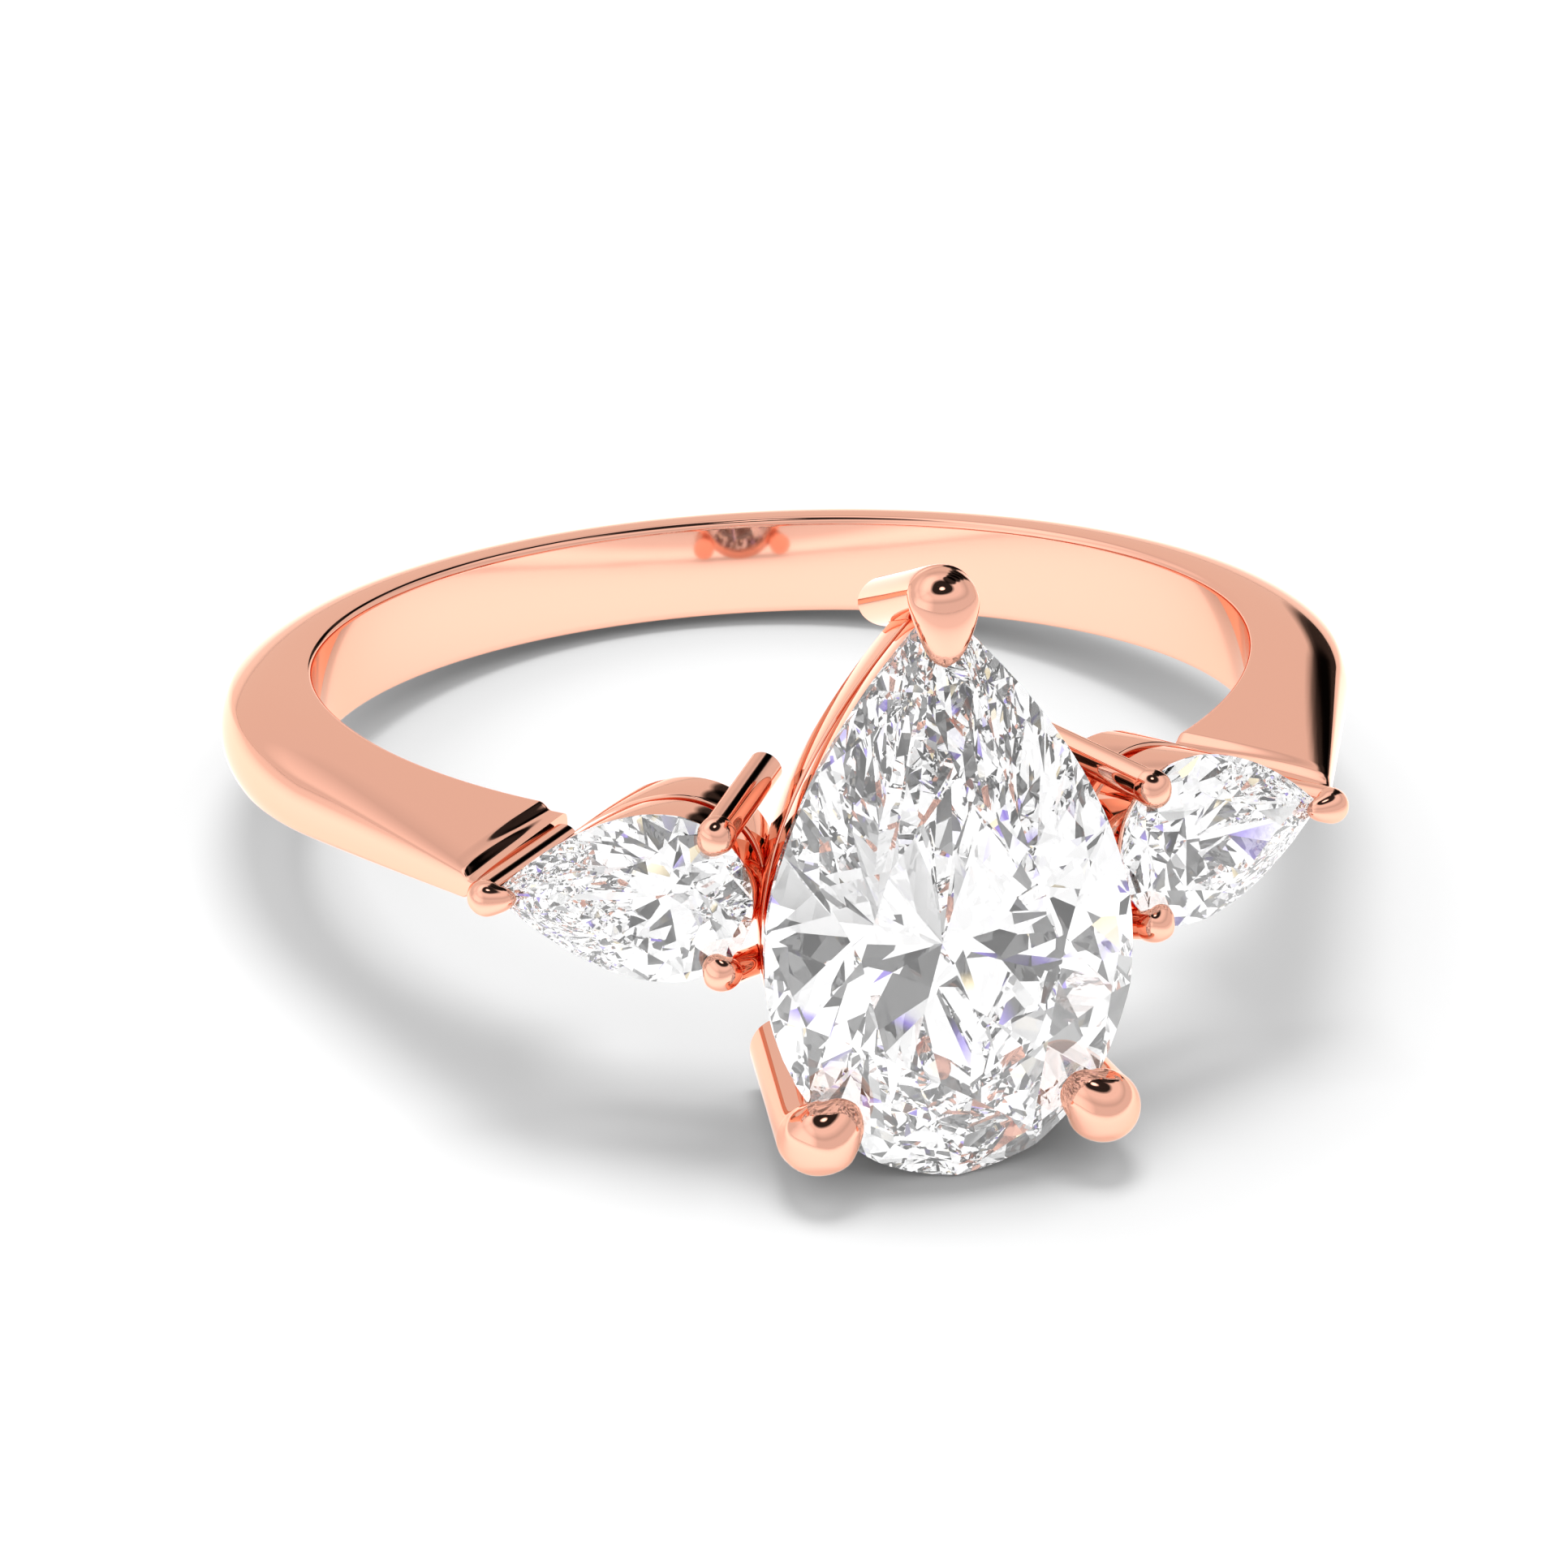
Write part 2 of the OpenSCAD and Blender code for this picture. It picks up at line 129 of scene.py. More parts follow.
class BasketSizes(bpy.types.PropertyGroup):
    """Sizes of the baskets and claws."""
    centre_lean: angle("Centre lean", "Inward lean of the centre basket's flanks", 8)
    centre_tip_lean: angle("Centre tip lean", "Inward lean of the centre basket at the point", 14)
    side_lean: angle("Side lean", "Inward lean of the side baskets' flanks", 0)
    side_tip_lean: angle("Side tip lean", "Inward lean of the side baskets at the points", 12)
    rail_in: length("Rail inset", "How far the rails' outer wall stays inside the girdle", 0.05)
    rail_t: length("Rail wall", "Wall thickness of the rails", 0.42)
    top_rail_h: length("Top rail", "Depth of the top rail below the girdle", 1.0)
    rail_gap: length("Rail gap", "Open gap between the two rails", 0.24)
    base_rail_h: length("Base rail", "Height of the base rail", 1.0)
    edge: length("Edge softening", "Rounding of the polished edges", 0.06)
    seat_gap: length("Seat gap", "Clearance between a stone and the metal round it", 0.02)
    centre_claw_d: length("Centre claw", "Thickness of the round-end claws", 1.12)
    centre_claw_reach: length("Centre claw reach", "Reach over the crown", 0.62)
    point_claw_t: length("Point claw", "Thickness of the centre point claw's leg", 0.84)
    point_claw_w: length("Point claw width", "Width of the centre point claw", 1.06)
    point_claw_reach: length("Point claw reach", "Reach over the crown", 0.95)
    point_claw_lean: angle("Point claw lean", "Inward lean of the centre point claw's leg", 18)
    side_point_claw_d: length("Side point claw", "Thickness of the side stones' point claws", 0.54)
    side_point_claw_reach: length("Side point claw reach", "Reach over the crown", 0.44)
    side_claw_d: length("Side claw", "Thickness of the side stones' round-end claws", 0.5)
    side_claw_w: length("Side claw width", "Width of those claws along the stone's edge", 0.58)
    side_claw_reach: length("Side claw reach", "Reach over the crown", 0.3)
    side_claw_splay: angle("Side claw splay", "Outward splay of the round-end claws' legs", 13)


class Finishes(bpy.types.PropertyGroup):
    """Colours and polish."""
    gold: colour("Rose gold", "Colour of the polished metal", (0.86, 0.45, 0.335))
    gold_edge: colour("Rose gold edge", "Tint of the metal seen edge on", (1.0, 0.82, 0.72))
    gold_roughness: share("Polish", "Roughness of the polished metal", 0.05)
    diamond: colour("Diamond", "Tint of the stones", (1.0, 1.0, 1.0))
    diamond_ior: share("Index of refraction", "How strongly the stones bend light", 2.42, 3)
    floor: colour("Floor", "Colour of the floor", (0.9, 0.9, 0.9))
    floor_lift: share("Floor lift", "White added to the floor where it is looked at", 0.05)
    # Painted glow: in the metal's reflections the floor near the ring shines above white, which
    # paints brighter reflections into the metal; the next setting is how far it reaches
    painted_floor_glow: share("Floor gleam", "White added to the floor in the metal", 0.62)
    painted_glow_reach: length("Gleam reach", "How far from the middle that floor gleam fades out", 34)
    floor_clear: share("Floor through stones", "White added to the floor in the stones", 0.02)


class Studio(bpy.types.PropertyGroup):
    """Camera and lights."""
    azimuth: angle("Azimuth", "Turn of the camera round the ring", -13.586)
    elevation: angle("Elevation", "Camera's angle above the floor", 27.993)
    roll: angle("Roll", "Camera's roll", 0.343)
    distance: length("Distance", "From the camera to the point it looks at", 129.15)
    lens: bpy.props.FloatProperty(
        name="Lens", description="Focal length in millimetres", default=167.7, unit="CAMERA")
    key_power: bpy.props.FloatProperty(
        name="Key lamp", description="Power of the large lamp overhead", default=0.3, unit="POWER")
    sky: share("Sky", "Strength of the white surroundings", 1.0, 3)


def settings(name):
    """One of the scene's groups of settings."""
    return getattr(bpy.context.scene, name)


# ---------------------------------------------------------------- outlines
MAINS = 8           # main facets round a stone
WING_STEPS = 2.25   # the step where a stone is widest
TIP_RATIO = 1.35    # how much faster the point retreats when an outline shrinks
FINE = 40           # mesh stations in each step of an outline

Pear = namedtuple("Pear", "length width round_end power flank_lean tip_lean")


def centre_pear():
    """Outline and basket lean of the centre stone."""
    s, b = settings("ring_stones"), settings("ring_baskets")
    return Pear(s.centre_l, s.centre_w, s.centre_round, s.wing_power,
                b.centre_lean, b.centre_tip_lean)


def side_pear():
    """Outline and basket lean of a side stone."""
    s, b = settings("ring_stones"), settings("ring_baskets")
    return Pear(s.side_l, s.side_w, s.side_round, s.wing_power, b.side_lean, b.side_tip_lean)


def pear_point(step, pear):
    """Point of an outline, from the stone's point at step 0 round to step 8."""
    step %= MAINS
    half, wing = pear.width / 2, pear.length - pear.round_end
    m = step if step <= MAINS / 2 else MAINS - step
    side = 1 if step <= MAINS / 2 else -1
    if m <= WING_STEPS:
        u = 1 - m / WING_STEPS
        return Vector((side * half * (1 - u ** pear.power), wing * u, 0))
    t = pi / 2 * (m - WING_STEPS) / (MAINS / 2 - WING_STEPS)
    return Vector((side * half * cos(t), -pear.round_end * sin(t), 0))


def pear_normal(step, pear):
    """Outward direction of an outline at a step."""
    t = (pear_point(step + 0.02, pear) - pear_point(step - 0.02, pear)).normalized()
    return Vector((-t.y, t.x, 0))


def walled(pear, depth, inwards):
    """The outline at a depth below the girdle, inside the basket's outer wall."""
    b = settings("ring_baskets")
    flank = inwards + b.rail_in + depth * tan(pear.flank_lean)
    tip = TIP_RATIO * (inwards + b.rail_in) + depth * tan(pear.tip_lean)
    return pear._replace(length=pear.length - flank - tip, width=pear.width - 2 * flank,
                         round_end=pear.round_end - flank)


# ---------------------------------------------------------------- places
def centre_plane():
    """Height of the centre girdle above the finger hole's axis."""
    return settings("ring_band").finger_d / 2 + settings("ring_stones").centre_lift


def rest_turn():
    """Turns the ring frame into the row frame, where the ring lies on the floor."""
    band, s = settings("ring_band"), settings("ring_stones")
    stone_low = -s.centre_l / 2
    back = band.finger_d / 2 + band.side_h - band.shoulder_gain / 2
    return Matrix.Rotation(-atan2(-stone_low - band.width / 2, centre_plane() + back), 4, "X")


def at_centre():
    """From the centre stone's frame to the ring frame."""
    s = settings("ring_stones")
    return (Matrix.Translation((0, -centre_plane(), s.centre_round - s.centre_l / 2))
            @ Matrix.Rotation(pi / 2, 4, "X"))


def side_slide():
    """How far a side stone's widest line lies along its own face from the middle."""
    s = settings("ring_stones")
    plane = settings("ring_band").finger_d / 2 + s.side_lift
    return (s.centre_w / 2 - plane * sin(s.side_turn)) / cos(s.side_turn) + s.side_round


def at_right():
    """From the right side stone's frame to the ring frame."""
    s = settings("ring_stones")
    plane = settings("ring_band").finger_d / 2 + s.side_lift
    return (Matrix.Rotation(s.side_turn, 4, "Z")
            @ Matrix.Translation((side_slide(), -plane, 0))
            @ Matrix.Rotation(pi / 2, 4, "X") @ Matrix.Rotation(-pi / 2, 4, "Z"))


def place_of(side):
    """From a stone's frame to the ring frame, for centre, left or right."""
    if side == "centre":
        return at_centre()
    flip = Matrix.Scale(-1, 4, (1, 0, 0)) if side == "left" else Matrix.Identity(4)
    return flip @ at_right()


# ---------------------------------------------------------------- mesh tools
LEAST_LEFT = 0.3          # a cut that leaves a smaller share of the faces has failed
SHARP_FROM = radians(40)  # edges sharper than this aren't smoothed


def softened(corners, size, steps=3):
    """A closed section with each corner rounded by a short curve."""
    out = []
    n = len(corners)
    for i, p in enumerate(corners):
        before, after = corners[i - 1] - p, corners[(i + 1) % n] - p
        a = p + before.normalized() * min(size, before.length * 0.45)
        b = p + after.normalized() * min(size, after.length * 0.45)
        for k in range(steps + 1):
            t = k / steps
            out.append(a * (1 - t) ** 2 + p * 2 * t * (1 - t) + b * t ** 2)
    return out


def bend(a, corner, b, steps):
    """A curve from a to b that is pulled towards the corner."""
    return [a * (1 - t) ** 2 + corner * 2 * t * (1 - t) + b * t ** 2
            for t in (k / steps for k in range(steps + 1))]


def skin(name, rings, closed):
    """A mesh object through rings that have equal numbers of points."""
    n = len(rings[0])
    faces = []
    for i in range(len(rings) if closed else len(rings) - 1):
        u = (i + 1) % len(rings)
        faces += [(i * n + j, u * n + j, u * n + (j + 1) % n, i * n + (j + 1) % n)
                  for j in range(n)]
    if not closed:
        last = (len(rings) - 1) * n
        faces += [tuple(range(n)), tuple(last + j for j in reversed(range(n)))]
    mesh = bpy.data.meshes.new(name)
    mesh.from_pydata([p for ring in rings for p in ring], [], faces)
    mesh.validate()
    obj = bpy.data.objects.new(name, mesh)
    bpy.context.scene.collection.objects.link(obj)
    return obj


def settle(obj, place):
    """Moves a mesh's points to the row frame and points its faces outwards."""
    obj.data.transform(rest_turn() @ place)
    mesh = bmesh.new()
    mesh.from_mesh(obj.data)
    bmesh.ops.recalc_face_normals(mesh, faces=mesh.faces)
    mesh.to_mesh(obj.data)
    mesh.free()


def carve(obj, cutter):
    """Cuts one mesh out of another and removes the cutter."""
    cut = obj.modifiers.new("carve", "BOOLEAN")
    cut.operation = "DIFFERENCE"
    cut.solver = "EXACT"
    cut.object = cutter
    bpy.context.view_layer.update()
    made = bpy.data.meshes.new_from_object(obj.evaluated_get(bpy.context.evaluated_depsgraph_get()))
    obj.modifiers.remove(cut)
    if len(made.polygons) < LEAST_LEFT * len(obj.data.polygons):
        raise RuntimeError(f"too little is left of {obj.name}")
    obj.data = made
    bpy.data.objects.remove(cutter)


def polish(obj, node, material):
    """Gives a finished piece its smooth shading, its material and its place in the frame."""
    obj.data.shade_smooth()
    obj.data.set_sharp_from_angle(angle=SHARP_FROM)
    obj.data.materials.clear()
    obj.data.materials.append(material)
    obj.visible_transmission = False
    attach(obj, "root")
    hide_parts(node)


# ---------------------------------------------------------------- materials
HAZE_SCALE, HAZE_SPREAD = 900, 0.4          # uneven polish of the metal
WAVE_SCALE, WAVE_STRENGTH, WAVE_DEPTH = 260, 0.02, 0.02 * MM
MARKS_SCALE, MARKS_ROUGHNESS = 1500, 0.0015   # polish marks on the stones
GRAIN_SCALE, GRAIN_SHADE = 40, 0.99         # grain of the floor
FLOOR_ROUGHNESS, FLOOR_SPECULAR = 0.9, 0.1


def new_material(name):
    """A node material, its principled shader and its node tree."""
    material = bpy.data.materials.new(name)
    material.use_nodes = True
    return material, material.node_tree.nodes["Principled BSDF"], material.node_tree


def add_noise(tree, scale, detail=3.0):
    """Noise in the object's own coordinates."""
    place = tree.nodes.new("ShaderNodeTexCoord")
    noise = tree.nodes.new("ShaderNodeTexNoise")
    noise.inputs["Scale"].default_value = scale
    noise.inputs["Detail"].default_value = detail
    tree.links.new(place.outputs["Object"], noise.inputs["Vector"])
    return noise


def map_range(tree, source, low, high, start=0, end=1):
    """Maps start..end onto low..high."""
    node = tree.nodes.new("ShaderNodeMapRange")
    node.inputs["From Min"].default_value = start
    node.inputs["From Max"].default_value = end
    node.inputs["To Min"].default_value = low
    node.inputs["To Max"].default_value = high
    tree.links.new(source, node.inputs["Value"])
    return node.outputs["Result"]


def ramp(tree, source, stops):
    """A colour ramp from stops of (place, colour)."""
    node = tree.nodes.new("ShaderNodeValToRGB")
    tree.links.new(source, node.inputs["Fac"])
    node.color_ramp.elements.remove(node.color_ramp.elements[1])
    for i, (place, tone) in enumerate(stops):
        stop = node.color_ramp.elements[0] if i == 0 else node.color_ramp.elements.new(place)
        stop.position = place
        stop.color = (*tone, 1)
    return node.outputs["Color"]


def grey(level):
    """A level as a colour."""
    return level, level, level


def product(tree, a, b):
    """Multiplies two levels."""
    node = tree.nodes.new("ShaderNodeMath")
    node.operation = "MULTIPLY"
    tree.links.new(a, node.inputs[0])
    tree.links.new(b, node.inputs[1])
    return node.outputs["Value"]


def rose_gold():
    """Polished rose gold with a faint unevenness left by hand polishing."""
    found = bpy.data.materials.get("polished_rose_gold")
    if found:
        return found
    finish = settings("ring_finishes")
    material, shader, tree = new_material("polished_rose_gold")
    shader.inputs["Metallic"].default_value = 1
    shader.inputs["Base Color"].default_value = (*finish.gold, 1)
    shader.inputs["Specular Tint"].default_value = (*finish.gold_edge, 1)
    haze = add_noise(tree, HAZE_SCALE)
    rough = finish.gold_roughness
    spread = map_range(tree, haze.outputs["Fac"], rough * (1 - HAZE_SPREAD),
                       rough * (1 + HAZE_SPREAD))
    tree.links.new(spread, shader.inputs["Roughness"])
    wave = add_noise(tree, WAVE_SCALE, 2)
    bump = tree.nodes.new("ShaderNodeBump")
    bump.inputs["Strength"].default_value = WAVE_STRENGTH
    bump.inputs["Distance"].default_value = WAVE_DEPTH
    tree.links.new(wave.outputs["Fac"], bump.inputs["Height"])
    tree.links.new(bump.outputs["Normal"], shader.inputs["Normal"])
    return material


def diamond():
    """Clear brilliant-cut diamond."""
    found = bpy.data.materials.get("cut_diamond")
    if found:
        return found
    finish = settings("ring_finishes")
    material, shader, tree = new_material("cut_diamond")
    shader.inputs["Base Color"].default_value = (*finish.diamond, 1)
    shader.inputs["Transmission Weight"].default_value = 1
    shader.inputs["IOR"].default_value = finish.diamond_ior
    marks = add_noise(tree, MARKS_SCALE)
    tree.links.new(map_range(tree, marks.outputs["Fac"], 0, MARKS_ROUGHNESS),
                   shader.inputs["Roughness"])
    return material


def floor_finish():
    """Matt white floor with a very faint grain."""
    finish = settings("ring_finishes")
    material, shader, tree = new_material("floor")
    shader.inputs["Roughness"].default_value = FLOOR_ROUGHNESS
    shader.inputs["Specular IOR Level"].default_value = FLOOR_SPECULAR
    grain = add_noise(tree, GRAIN_SCALE)
    tint = tree.nodes.new("ShaderNodeValToRGB")
    tint.color_ramp.elements[0].color = (*[c * GRAIN_SHADE for c in finish.floor], 1)
    tint.color_ramp.elements[1].color = (*finish.floor, 1)
    tree.links.new(grain.outputs["Fac"], tint.inputs["Fac"])
    tree.links.new(tint.outputs["Color"], shader.inputs["Base Color"])
    lift_floor(tree, shader, finish)
    return material


def lift_floor(tree, shader, finish):
    """Adds white to the floor as it is seen directly, in the metal and through the stones. In the
    metal it is a painted glow: the floor near the ring shines above white, which paints brighter
    reflections into the metal.
    """
    rays = tree.nodes.new("ShaderNodeLightPath")
    through = rays.outputs["Is Transmission Ray"]
    mirrored = tree.nodes.new("ShaderNodeMath")
    mirrored.operation = "SUBTRACT"
    mirrored.use_clamp = True
    tree.links.new(rays.outputs["Is Glossy Ray"], mirrored.inputs[0])
    tree.links.new(through, mirrored.inputs[1])
    place = tree.nodes.new("ShaderNodeNewGeometry")
    away = tree.nodes.new("ShaderNodeVectorMath")
    away.operation = "LENGTH"
    tree.links.new(place.outputs["Position"], away.inputs[0])
    # Painted glow: full within half the reach from the ring's middle, fading to none at the full
    # reach, and only in rays mirrored by the metal
    near = map_range(tree, away.outputs["Value"], 1, 0, finish.painted_glow_reach / 2,
                     finish.painted_glow_reach)
    painted_glow_share = product(tree, mirrored.outputs["Value"], near)
    level = map_range(tree, rays.outputs["Is Camera Ray"], 0, finish.floor_lift)
    for source, lift in ((painted_glow_share, finish.painted_floor_glow), (through, finish.floor_clear)):
        total = tree.nodes.new("ShaderNodeMath")
        tree.links.new(level, total.inputs[0])
        tree.links.new(map_range(tree, source, 0, lift), total.inputs[1])
        level = total.outputs["Value"]
    shader.inputs["Emission Color"].default_value = (1, 1, 1, 1)
    tree.links.new(level, shader.inputs["Emission Strength"])


# ---------------------------------------------------------------- band
BAND_STATIONS = 560       # along the band
END_STATIONS = 110        # more at each end, close together
END_ARC = radians(6)
DOME_POINTS = 40          # across the dome
TAPER_BACK = 3 * MM       # the taper begins this far before the straight shoulder
TAPER_POWER = 1.3
TAPER_EASE = 0.02         # how softly the taper begins
INNER_ROUND = 0.16 * MM   # rounding of the two inner edges
INNER_STEPS = 7
RIDGE_POINTS = 9          # dome points that the rounded ridge reaches over
RIDGE_FROM = 0.35         # where it begins on the flat side, from the inner edge to the ridge
RIDGE_STEPS = 12
TOP_OUT = 0.2             # the shoulder's top lies this share of a claw outside its leg
END_EARLY = radians(1.2)  # the shoulder stops this far before the leg's middle
STEP_FROM = 0.62 * MM     # each flat side steps down between these distances from it
STEP_TO = 0.4 * MM
STEP_DROP = 0.13 * MM
LEG_OUT = 0.12 * MM       # how far a side point claw's leg stands out from the girdle
FOOT_GAP = 0.12 * MM      # feet stop short of the finger hole


def eased(t):
    """Rises smoothly from 0 to 1."""
    t = min(max(t, 0), 1)
    return t * t * (3 - 2 * t)


class BandShape:
    """The band's profile, worked out from the sizes."""

    def __init__(self):
        band, s, b = (settings(n) for n in ("ring_band", "ring_stones", "ring_baskets"))
        self.band = band
        self.finger_r = band.finger_d / 2
        self.outer_r = self.finger_r + band.side_h + band.dome_h
        self.shift = band.shoulder_gain / 2
        self.dome_r = ((band.width / 2) ** 2 + band.dome_h ** 2) / (2 * band.dome_h)
        self.leg_lean, self.leg_r = b.side_tip_lean, b.side_point_claw_d / 2
        self.leg_tip = s.side_l - s.side_round + LEG_OUT
        foot = s.side_lift - 2 * FOOT_GAP
        place = at_right()
        self.to_stone = place.inverted()
        head = place @ Vector((0, self.leg_tip, 0))
        low = place @ Vector((0, self.leg_tip - foot * tan(self.leg_lean), -foot))
        self.end_angle = (self.above(head) + self.above(low)) / 2 - END_EARLY
        top = head + head.normalized() * b.side_point_claw_d * TOP_OUT + Vector((0, self.shift, 0))
        self.start_angle = self.above(top) - acos(self.outer_r / top.length)
        self.shoulder_l = top.length * sin(self.above(top) - self.start_angle)

    @staticmethod
    def above(p):
        """Angle of a point above X, towards the head."""
        return atan2(-p.y, p.x)

    def radius(self, a, r):
        """Distance from the finger hole's axis to the shifted circle r or its shoulder."""
        touch = atan2(self.shift + r * sin(self.start_angle), r * cos(self.start_angle))
        if a < touch:
            return self.shift * sin(a) + sqrt(r ** 2 - (self.shift * cos(a)) ** 2)
        return (r + self.shift * sin(self.start_angle)) / cos(a - self.start_angle)

    def half_width(self, a, r):
        """Half width of the band at a radius, from its place along the shoulder."""
        along = r * sin(a - self.start_angle) - self.shift * cos(self.start_angle)
        t = (along + TAPER_BACK) / (self.shoulder_l + TAPER_BACK)
        t = (t + sqrt(t * t + TAPER_EASE)) / 2
        w = (self.band.width - (self.band.width - self.band.shoulder_w) * t ** TAPER_POWER) / 2
        return w - STEP_DROP * eased((STEP_FROM - self.from_leg(a, r)) / (STEP_FROM - STEP_TO))

    def from_leg(self, a, r):
        """Distance outwards from the side claw's leg to a place in the band's middle plane."""
        p = self.to_stone @ Vector((r * cos(a), -r * sin(a), 0))
        return (p.y - self.leg_tip) * cos(self.leg_lean) - p.z * sin(self.leg_lean)

    def section(self, turn):
        """The band's section at a turn about Z."""
        a = -turn if turn <= pi / 2 else turn - pi
        crest = self.radius(a, self.outer_r)
        w = self.half_width(a, crest)
        w_in = self.half_width(a, self.finger_r)
        edge = asin(w / self.dome_r)
        dome = []
        for k in range(DOME_POINTS + 1):
            t = edge * (1 - 2 * k / DOME_POINTS)
            drop = self.dome_r * (1 - cos(t))
            dome.append(Vector((self.radius(a, self.outer_r - drop), self.dome_r * sin(t), 0)))
        inner = [Vector((self.finger_r, w_in, 0)), Vector((self.finger_r, -w_in, 0))]
        middle = slice(INNER_STEPS + 1, 2 * INNER_STEPS + 2)
        foot = softened([dome[-1], inner[1], inner[0]], INNER_ROUND, INNER_STEPS)[middle]
        start = softened([inner[1], inner[0], dome[0]], INNER_ROUND, INNER_STEPS)[middle]
        k = RIDGE_POINTS
        ridge = bend(inner[0].lerp(dome[0], RIDGE_FROM), dome[0], dome[k], RIDGE_STEPS)
        over = bend(dome[-1 - k], dome[-1], inner[1].lerp(dome[-1], RIDGE_FROM), RIDGE_STEPS)
        flat = foot + start + ridge + dome[k + 1:-1 - k] + over
        return [Vector((p.x * cos(turn), p.x * sin(turn), p.y)) for p in flat]


class RING_OT_build_band(bpy.types.Operator):
    """Builds the band with its domed outside and its tapering shoulders"""
    bl_idname = "ring.build_band"
    bl_label = "Band"

    def execute(self, context):
        shape = BandShape()
        first, last = -shape.end_angle, pi + shape.end_angle
        turns = [first + END_ARC * i / END_STATIONS for i in range(END_STATIONS)]
        turns += [first + END_ARC + (last - first - 2 * END_ARC) * i / BAND_STATIONS
                  for i in range(BAND_STATIONS)]
        turns += [last - END_ARC + END_ARC * i / END_STATIONS for i in range(END_STATIONS + 1)]
        rings = [shape.section(turn) for turn in turns]
        band = skin("band", rings, False)
        settle(band, Matrix.Identity(4))
        polish(band, "shank", rose_gold())
        return {"FINISHED"}


# ---------------------------------------------------------------- rails
CHAMFER = 0.1 * MM   # how far a basket's filled space goes past it at each end
SPACE_STEPS = 12     # its corners in each step of an outline


def seat_depth(pear, inwards):
    """Depth where the pavilion's steepest side passes over a place in a rail."""
    s, b = settings("ring_stones"), settings("ring_baskets")
    start = pear.width * s.girdle / 2 + 2 * b.seat_gap
    slope = 2 * s.pavilion
    return (start + slope * (b.rail_in + inwards)) / (1 - slope * tan(pear.flank_lean))


def top_section(pear):
    """Section of a top rail, as inwards from the outer wall and depth."""
    b = settings("ring_baskets")
    return [(0, seat_depth(pear, 0)), (b.rail_t, seat_depth(pear, b.rail_t)),
            (b.rail_t, b.top_rail_h), (0, b.top_rail_h)]


def base_section():
    """Section of a base rail, as inwards from the outer wall and depth."""
    b = settings("ring_baskets")
    high = b.top_rail_h + b.rail_gap
    low = high + b.base_rail_h
    return [(0, high), (b.rail_t, high), (b.rail_t, low), (0, low)]


def outline_ring(step, pear, section):
    """A section stood on the outline at a step."""
    corners = [Vector((*pear_point(step, walled(pear, depth, inwards)).xy, -depth))
               for inwards, depth in section]
    return softened(corners, settings("ring_baskets").edge)


def basket_space(side, clearance):
    """A solid that fills a basket out to its outer walls."""
    b = settings("ring_baskets")
    pear = centre_pear() if side == "centre" else side_pear()
    low = b.top_rail_h + b.rail_gap + b.base_rail_h
    steps = [(i + 0.5) / SPACE_STEPS for i in range(MAINS * SPACE_STEPS)]
    rings = []
    for depth in (-CHAMFER, 0, low + CHAMFER):
        wall = walled(pear, max(depth, 0), -clearance)
        rings.append([Vector((*pear_point(q, wall).xy, -depth)) for q in steps])
    space = skin("basket_space", rings, False)
    settle(space, place_of(side))
    return space


class RING_OT_build_rails(bpy.types.Operator):
    """Builds the top and base rail of each basket"""
    bl_idname = "ring.build_rails"
    bl_label = "Gallery rails"

    def execute(self, context):
        steps = [i / FINE for i in range(MAINS * FINE)]
        for side in ("centre", "left", "right"):
            pear = centre_pear() if side == "centre" else side_pear()
            for part, section in (("top", top_section(pear)), ("base", base_section())):
                rings = [outline_ring(step, pear, section) for step in steps]
                rail = skin(f"{side}_gallery_{part}", rings, True)
                settle(rail, place_of(side))
                if side != "centre":
                    carve(rail, basket_space("centre", settings("ring_baskets").seat_gap))
                polish(rail, f"{side}_{part}_rail", rose_gold())
        return {"FINISHED"}


# ---------------------------------------------------------------- claws
CLAW_SIDES = 40
CLAW_RINGS = 72
CENTRE_CLAW_STEP = 3.1   # where the round-end claws stand on a stone's outline
SIDE_CLAW_STEP = 3
LEG_SHARE = 0.25         # how far most legs stand out from the girdle, as a share of thickness

Claw = namedtuple("Claw", "step thickness width leg_out reach foot lean")


def claw_path(claw):
    """Stations of a claw: outward place, height, slope of the ring and radius share."""
    r, o, foot, reach = claw.thickness / 2, claw.leg_out, claw.foot, claw.reach
    h = r * 0.9
    return np.array([
        [o - foot * tan(claw.lean), -foot, -claw.lean, 1],
        [o - 0.5 * foot * tan(claw.lean), -0.5 * foot, -claw.lean, 1],
        [o, 0, -claw.lean, 1],
        [o, h * 0.5, radians(5), 1.04],
        [o - r * 0.12, h * 0.95, radians(30), 1.08],
        [o - r * 0.45, h * 1.3, radians(55), 1.06],
        [o * 0.2 - reach * 0.35, h * 1.36, radians(72), 0.9],
        [-reach * 0.68, h * 1.22, radians(82), 0.64],
        [-reach * 0.9, h * 1.1, radians(86), 0.36],
        [-reach, h * 1.04, radians(88), 0.08],
    ])


def smooth_path(stations, count):
    """A Catmull-Rom curve through the stations."""
    ends = np.vstack([2 * stations[0] - stations[1], stations, 2 * stations[-1] - stations[-2]])
    out = []
    for i in range(count + 1):
        u = i / count * (len(stations) - 1)
        k = min(int(u), len(stations) - 2)
        t = u - k
        p0, p1, p2, p3 = ends[k:k + 4]
        out.append(0.5 * (2 * p1 + (p2 - p0) * t + (2 * p0 - 5 * p1 + 4 * p2 - p3) * t * t
                          + (3 * p1 - p0 - 3 * p2 + p3) * t ** 3))
    return out


